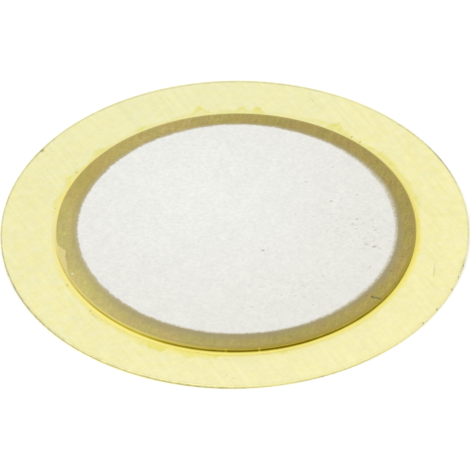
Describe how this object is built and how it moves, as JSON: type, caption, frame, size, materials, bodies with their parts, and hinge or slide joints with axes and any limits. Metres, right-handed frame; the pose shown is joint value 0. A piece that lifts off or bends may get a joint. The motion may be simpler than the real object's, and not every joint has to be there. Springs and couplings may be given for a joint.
{
  "type": "piezo disc",
  "caption": "Round piezo buzzer and pickup disc: thin brass plate carrying a smaller bonded ceramic disc with a silver electrode on top.",
  "frame": {"origin": "centre of the brass plate's underside", "axes": "+Z from the brass plate to the upper silver electrode; the ceramic is laid off centre along -Y, and the widest bare ceramic border round the upper electrode is towards -X and -Y"},
  "size_m": [0.027, 0.027, 0.0005],
  "materials": {
    "rolled_brass": "satin",
    "cured_epoxy": "gloss",
    "fired_silver": "matte",
    "piezo_ceramic": "matte"
  },
  "bodies": {
    "root": {"brass_plate": "rolled_brass", "adhesive_layer": "cured_epoxy", "lower_electrode": "fired_silver", "ceramic_disc": "piezo_ceramic", "upper_electrode": "fired_silver"}
  },
  "joints": []
}
